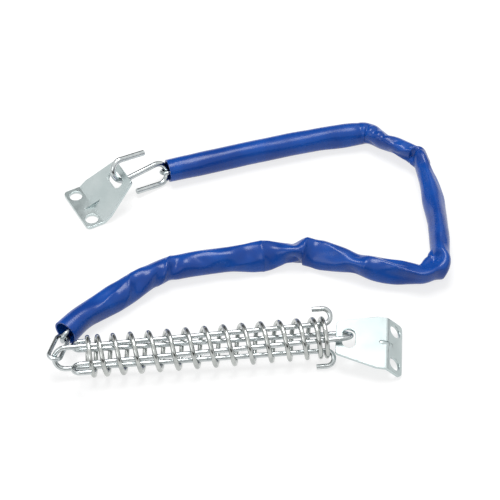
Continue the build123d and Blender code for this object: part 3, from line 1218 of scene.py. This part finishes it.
    def width_along(self, line: Sequence[Vector]) -> np.ndarray:
        """The seen width along the line, smoothed between the stations.

        Args:
            line: the centre line.

        Returns:
            The width at each of its points.
        """
        flat = np.array([(p.x, p.y) for p in line])
        runs, seen = [], []
        for x, y, width in self.widths:
            runs.append(int(np.argmin(((flat - (x, y)) ** 2).sum(axis=1))))
            seen.append(min(max(width, self.narrowest), self.widest))
        order = np.argsort(runs)
        steps = np.interp(np.arange(len(line)), np.array(runs)[order], np.array(seen)[order])
        reach = max(1, round(self.width_blend / self.spacing))
        kernel = np.hanning(2 * reach + 3)
        padded = np.pad(steps, reach + 1, mode="edge")
        return np.convolve(padded, kernel / kernel.sum(), mode="valid")

    def sections(self) -> list[Section]:
        """The sleeve's cross sections, lying on the bench, before any crease.

        Returns:
            One section for each point of the centre line.
        """
        line = self.centre_line()
        widths = self.width_along(line)
        view = self.view.normalized()
        made = []
        for index, point in enumerate(line):
            before = line[max(index - self.tangent_span, 0)]
            after = line[min(index + self.tangent_span, len(line) - 1)]
            tangent = (after - before).normalized()
            inside = tangent.cross(view).normalized()
            facing = tangent.cross(inside).normalized()
            # A flattened tube keeps its girth: what it gains in width, it loses in depth
            broad = widths[index] / 2
            deep = math.sqrt(max(2 * self.radius ** 2 - broad ** 2, self.least_depth ** 2))
            height = math.hypot(broad * inside.z, deep * facing.z)
            made.append(Section(Vector((point.x, point.y, height)), tangent, inside, facing, broad, deep))
        return made

    def chain_points(self, links: Iterable[bpy.types.Object]) -> np.ndarray:
        """Points all over the links.

        Args:
            links: the links' solids.

        Returns:
            The points, one row each.
        """
        points = []
        for link in links:
            for edge in link.data.edges:
                start, end = (np.array(link.data.vertices[v].co) / MM for v in edge.vertices)
                count = max(1, int(np.linalg.norm(end - start) / self.link_step))
                points += [start + (end - start) * step / count for step in range(count + 1)]
        return np.array(points)

    def links_reach(
        self, sections: Sequence[Section], spokes: np.ndarray, links: Iterable[bpy.types.Object]
    ) -> np.ndarray:
        """How far the links inside reach from the middle, along each spoke of each section.

        Args:
            sections: the sleeve's cross sections.
            spokes: unit directions in each section's own plane, by section and facet.
            links: the links' solids.

        Returns:
            The reach by section and facet.
        """
        # The points near each section are wrapped in a hull, known by its reach in each direction of a fan
        points = self.chain_points(links)
        turns = np.linspace(-math.pi, math.pi, self.fan_spokes, endpoint=False)
        fan = np.stack((np.cos(turns), np.sin(turns)))
        reach = np.zeros(spokes.shape[:2])
        for index, section in enumerate(sections):
            local = points - np.array(section.middle)
            in_slice = abs(local @ np.array(section.tangent)) < self.slice_half
            in_reach = (local ** 2).sum(axis=1) < self.looks_out ** 2
            near = local[in_slice & in_reach]
            flat = np.stack((near @ np.array(section.inside), near @ np.array(section.facing)), axis=1)
            support = np.maximum((flat @ fan).max(axis=0, initial=0.0), self.least_reach)
            towards = spokes[index] @ fan
            limits = np.where(towards > self.grazing, support / np.maximum(towards, self.grazing), math.inf)
            reach[index] = limits.min(axis=1)
        # The widest of the neighbours, then their mean, so that the skin is taut from link to link
        steps = range(-self.neighbours, self.neighbours + 1)
        spread = np.max([np.roll(reach, step, axis=0) for step in steps], axis=0)
        return np.mean([np.roll(spread, step, axis=0) for step in steps], axis=0)

    def skins(self, links: Iterable[bpy.types.Object]) -> list[Skins]:
        """The outer and the inner skin, creased and kept outside the links.

        Args:
            links: the links' solids.

        Returns:
            Both skins' points at each cross section.
        """
        sections = self.sections()
        clocks = [360 * facet / self.facets - 180 for facet in range(self.facets)]
        sines, cosines = np.sin(np.radians(clocks)), np.cos(np.radians(clocks))
        ovals = np.array([np.stack((s.broad * sines, s.deep * cosines), axis=1) for s in sections])
        reaches = np.linalg.norm(ovals, axis=2)
        least = self.links_reach(sections, ovals / reaches[:, :, None], links) + self.wall + self.clear
        made = []
        for index, section in enumerate(sections):
            run = index * self.spacing
            outer, inner = [], []
            for facet, clock in enumerate(clocks):
                broad, deep = ovals[index, facet]
                spoke = section.inside * broad + section.facing * deep
                pressed = sum(crease.depth_at(run, clock) for crease in self.creases)
                pressed += self.waviness * noise.noise((section.middle + spoke) * self.waves_per_mm)
                # A soft maximum: as creased where the links leave room, and just outside them elsewhere
                wanted, held = reaches[index, facet] - pressed, least[index, facet]
                kept = (wanted + held + math.hypot(wanted - held, self.give)) / 2
                skin = section.middle + spoke * (kept / reaches[index, facet])
                skin.z = max(skin.z, self.above_bench)
                outer.append(skin)
                inner.append(skin + (section.middle - skin).normalized() * self.wall)
            made.append((outer, inner))
        return made

    def shell(self, name: str, skins: Sequence[Skins]) -> bpy.types.Mesh:
        """A closed tube with its wall, from both skins.

        Args:
            name: the mesh's name.
            skins: the skins of this part of the sleeve.

        Returns:
            The mesh, in metres, with normals out.
        """
        shape = bmesh.new()
        outer = [[shape.verts.new(p * MM) for p in ring] for ring, _ in skins]
        inner = [[shape.verts.new(p * MM) for p in ring] for _, ring in skins]
        for skin in (outer, inner):
            for near, far in zip(skin, skin[1:]):
                for facet in range(self.facets):
                    after = (facet + 1) % self.facets
                    shape.faces.new((near[facet], far[facet], far[after], near[after]))
        for end in (0, -1):
            for facet in range(self.facets):
                after = (facet + 1) % self.facets
                rim = (outer[end][facet], inner[end][facet], inner[end][after], outer[end][after])
                for edge in shape.faces.new(rim).edges:
                    if any(all(vert in ring for vert in edge.verts) for ring in (outer[end], inner[end])):
                        edge.smooth = False
        bmesh.ops.recalc_face_normals(shape, faces=shape.faces)
        mesh = bpy.data.meshes.new(name)
        shape.to_mesh(mesh)
        shape.free()
        return mesh

    def build(self, shop: Workshop) -> list[bpy.types.Object]:
        """Builds the sleeve in two halves.

        Args:
            shop: the solids and the finishes.

        Returns:
            The lower and the upper half.
        """
        links = [solid for node, solid in shop.solids.items() if node.startswith("chain_link")]
        skins = self.skins(links)
        split = round(self.split_run / self.spacing)
        vinyl = shop.of(Finish.VINYL)
        lower = dressed_mesh("sleeve_lower_half", self.shell("sleeve_lower_half", skins[:split + 1]), vinyl)
        upper = dressed_mesh("sleeve_upper_half", self.shell("sleeve_upper_half", skins[split:]), vinyl)
        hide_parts("vinyl_sleeve")
        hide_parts("vinyl_sleeve")
        start, end = (tuple(mm(*place)) for place in self.lower_fold)
        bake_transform(lower)
        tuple(start)
        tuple(end)
        start, end = (tuple(mm(*place)) for place in self.upper_fold)
        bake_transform(upper)
        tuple(start)
        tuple(end)
        return [lower, upper]


# Studio


@dataclass(frozen=True)
class Lamp:
    """A soft square lamp: where it hangs and its side, in metres, and its power in watts."""

    name: str
    place: tuple[float, float, float]
    side: float
    watts: float

    def build(self, aim: Vector) -> None:
        """Hangs the lamp and points it at a place.

        Args:
            aim: the place.
        """
        data = bpy.data.lights.new(self.name, "AREA")
        data.shape = "SQUARE"
        data.size = self.side
        data.energy = self.watts
        lamp = bpy.data.objects.new(self.name, data)
        lamp.location = self.place
        lamp.rotation_euler = (aim - Vector(self.place)).to_track_quat("-Z", "Y").to_euler()
        bpy.context.collection.objects.link(lamp)


@dataclass(frozen=True)
class Card:
    """An upright grey card that only reflections show, as beside a product on a photographer's table."""

    name: str
    foot: tuple[float, float, float]
    top: tuple[float, float, float]
    grey: float
    coolness: float = 1.02

    def build(self) -> None:
        """Stands the card between its two opposite corners."""
        (x, y, low), (far_x, far_y, high) = self.foot, self.top
        corners = [(x, y, low), (far_x, far_y, low), (far_x, far_y, high), (x, y, high)]
        mesh = bpy.data.meshes.new(self.name)
        mesh.from_pydata(corners, [], [(0, 1, 2, 3)])
        material, tree = empty_material(self.name)
        cool = self.grey * self.coolness
        glow = add_node(tree, "ShaderNodeEmission", {"Color": (self.grey, cool, cool, 1), "Strength": 1.0})
        add_node(tree, "ShaderNodeOutputMaterial", {"Surface": glow.outputs[0]})
        mesh.materials.append(material)
        card = bpy.data.objects.new(self.name, mesh)
        card.visible_camera = False
        card.visible_diffuse = False
        card.visible_shadow = False
        bpy.context.collection.objects.link(card)


@dataclass
class Studio:
    """A pale bench in a white room, a large soft lamp overhead, and grey cards for the metal to mirror."""

    camera_place: Vector = field(default_factory=lambda: Vector((0.01957, -0.59279, 0.5791)))
    aim: Vector = field(default_factory=lambda: Vector((0.07881, -0.03672, 0.0)))
    lens_mm: float = 119.66
    sensor_mm: float = 36.0
    lamp_aim: Vector = field(default_factory=lambda: mm(80, -40, 0))
    room_light: float = 0.45
    bench_half: float = 4.0
    bench_drop: float = 0.2 * MM
    bench_grey: float = 0.8
    # How the bench is seen: a grey that takes the shadow, and a glow that lifts it to white
    shown_grey: float = 0.28
    shown_glow: float = 0.76
    lamps: tuple[Lamp, ...] = (
        Lamp("overhead", (0.05, 0.22, 1.05), side=0.55, watts=9.0),
        Lamp("front_left", (-0.7, -0.8, 0.7), side=0.6, watts=2.0))
    # A grey wall behind, lower on the right, and dark edges low down on each side
    cards: tuple[Card, ...] = (
        Card("grey_wall", foot=(-0.75, 0.95, 0.05), top=(0.3, 0.95, 1.6), grey=0.13),
        Card("low_wall", foot=(0.3, 0.95, 0.05), top=(1.0, 0.95, 0.7), grey=0.36),
        Card("back_edge", foot=(-0.9, 0.9, 0.05), top=(1.1, 0.9, 0.24), grey=0.03),
        Card("front_edge", foot=(-0.9, -1.0, 0.16), top=(1.1, -1.0, 0.5), grey=0.04),
        Card("left_edge", foot=(-0.9, -0.9, 0.12), top=(-0.9, 0.8, 0.26), grey=0.06),
        Card("right_edge", foot=(1.05, -0.9, 0.18), top=(1.05, 0.8, 0.4), grey=0.06))

    def camera(self) -> None:
        """Sets up the camera at the photograph's viewing angle."""
        data = bpy.data.cameras.new("view")
        data.lens = self.lens_mm
        data.sensor_width = self.sensor_mm
        data.clip_start = 0.01
        data.clip_end = 20
        camera = bpy.data.objects.new("view", data)
        camera.location = self.camera_place
        camera.rotation_euler = (self.aim - self.camera_place).to_track_quat("-Z", "Y").to_euler()
        bpy.context.collection.objects.link(camera)
        bpy.context.scene.camera = camera

    def seen_rays(self, tree: bpy.types.NodeTree) -> bpy.types.NodeSocket:
        """Tells the rays that show a surface from the light on the object.

        Args:
            tree: the material's or the world's tree.

        Returns:
            1 for rays from the camera, off metal and through glass, and 0 for the others.
        """
        path = add_node(tree, "ShaderNodeLightPath")
        metal = add_node(tree, "ShaderNodeMath", {
            0: path.outputs["Is Camera Ray"], 1: path.outputs["Is Glossy Ray"]}, operation="MAXIMUM")
        glass = add_node(tree, "ShaderNodeMath", {
            0: metal.outputs[0], 1: path.outputs["Is Transmission Ray"]}, operation="MAXIMUM")
        return glass.outputs[0]

    def world(self) -> None:
        """Makes the room white where it is seen, and a plain grey level as the light on the object."""
        world = bpy.data.worlds.new("white_room")
        bpy.context.scene.world = world
        world.use_nodes = True
        tree = world.node_tree
        tree.nodes.clear()
        lit = add_node(tree, "ShaderNodeBackground", {"Color": (1, 1, 1, 1), "Strength": self.room_light})
        shown = add_node(tree, "ShaderNodeBackground", {"Color": (1, 1, 1, 1), "Strength": 1.0})
        mixed = add_node(tree, "ShaderNodeMixShader", {
            0: self.seen_rays(tree), 1: lit.outputs[0], 2: shown.outputs[0]})
        add_node(tree, "ShaderNodeOutputWorld", {"Surface": mixed.outputs[0]})

    def floor(self) -> None:
        """Lays the pale bench that keeps the object's soft shadow."""
        half = self.bench_half
        mesh = bpy.data.meshes.new("bench_top")
        mesh.from_pydata(
            [(-half, -half, 0), (half, -half, 0), (half, half, 0), (-half, half, 0)], [], [(0, 1, 2, 3)])
        material, tree = empty_material("pale_bench")
        matte = add_node(tree, "ShaderNodeBsdfDiffuse", {"Color": (*[self.bench_grey] * 3, 1)})
        pale = add_node(tree, "ShaderNodeBsdfDiffuse", {"Color": (*[self.shown_grey] * 3, 1)})
        glow = add_node(tree, "ShaderNodeEmission", {"Color": (1, 1, 1, 1), "Strength": self.shown_glow})
        shown = add_node(tree, "ShaderNodeAddShader", {0: pale.outputs[0], 1: glow.outputs[0]})
        mixed = add_node(tree, "ShaderNodeMixShader", {
            0: self.seen_rays(tree), 1: matte.outputs[0], 2: shown.outputs[0]})
        add_node(tree, "ShaderNodeOutputMaterial", {"Surface": mixed.outputs[0]})
        mesh.materials.append(material)
        floor = bpy.data.objects.new("bench_top", mesh)
        floor.location = (0, 0, -self.bench_drop)
        bpy.context.collection.objects.link(floor)

    def build(self) -> None:
        """Sets up the whole studio round the object."""
        bpy.context.scene.view_settings.view_transform = "Standard"
        self.camera()
        self.world()
        self.floor()
        for lamp in self.lamps:
            lamp.build(self.lamp_aim)
        for card in self.cards:
            card.build()


# Main


def report_fit(pieces: Sequence[bpy.types.Object], node: str) -> None:
    """Says how far the pieces' box is from the solid's box, at its worst corner.

    Args:
        pieces: the pieces that stand for the node.
        node: the solid's name.
    """
    corners = np.array([tuple(v.co) for piece in pieces for v in piece.data.vertices])
    low, high = (np.array(corner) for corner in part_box(node))
    off = max(float(np.abs(corners.min(0) - low).max()), float(np.abs(corners.max(0) - high).max()))
    faces = sum(len(piece.data.polygons) for piece in pieces)
    log.info("%s: %d faces, box within %.2f mm of its solid", node, faces, off / MM)


def main() -> None:
    """Builds the sub-assemblies in order, then the studio."""
    logging.basicConfig(level=logging.INFO, format="%(name)s: %(message)s")
    shop = Workshop(solids=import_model()["nodes"], wire=wire_tree())
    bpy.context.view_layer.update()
    for bracket in (frame_bracket(), door_bracket()):
        report_fit(bracket.build(shop), bracket.node)
    report_fit([SHook().build(shop)], "s_hook")
    for piece, node in zip(SpringUnit().build(shop), ("compression_spring", "drawbar_chain", "drawbar_door")):
        report_fit([piece], node)
    for piece in WeldedChain().build(shop):
        log.info("%s: %d faces", piece.name, len(piece.data.polygons))
    report_fit(VinylSleeve().build(shop), "vinyl_sleeve")
    Studio().build()


if __name__ == "__main__":
    main()
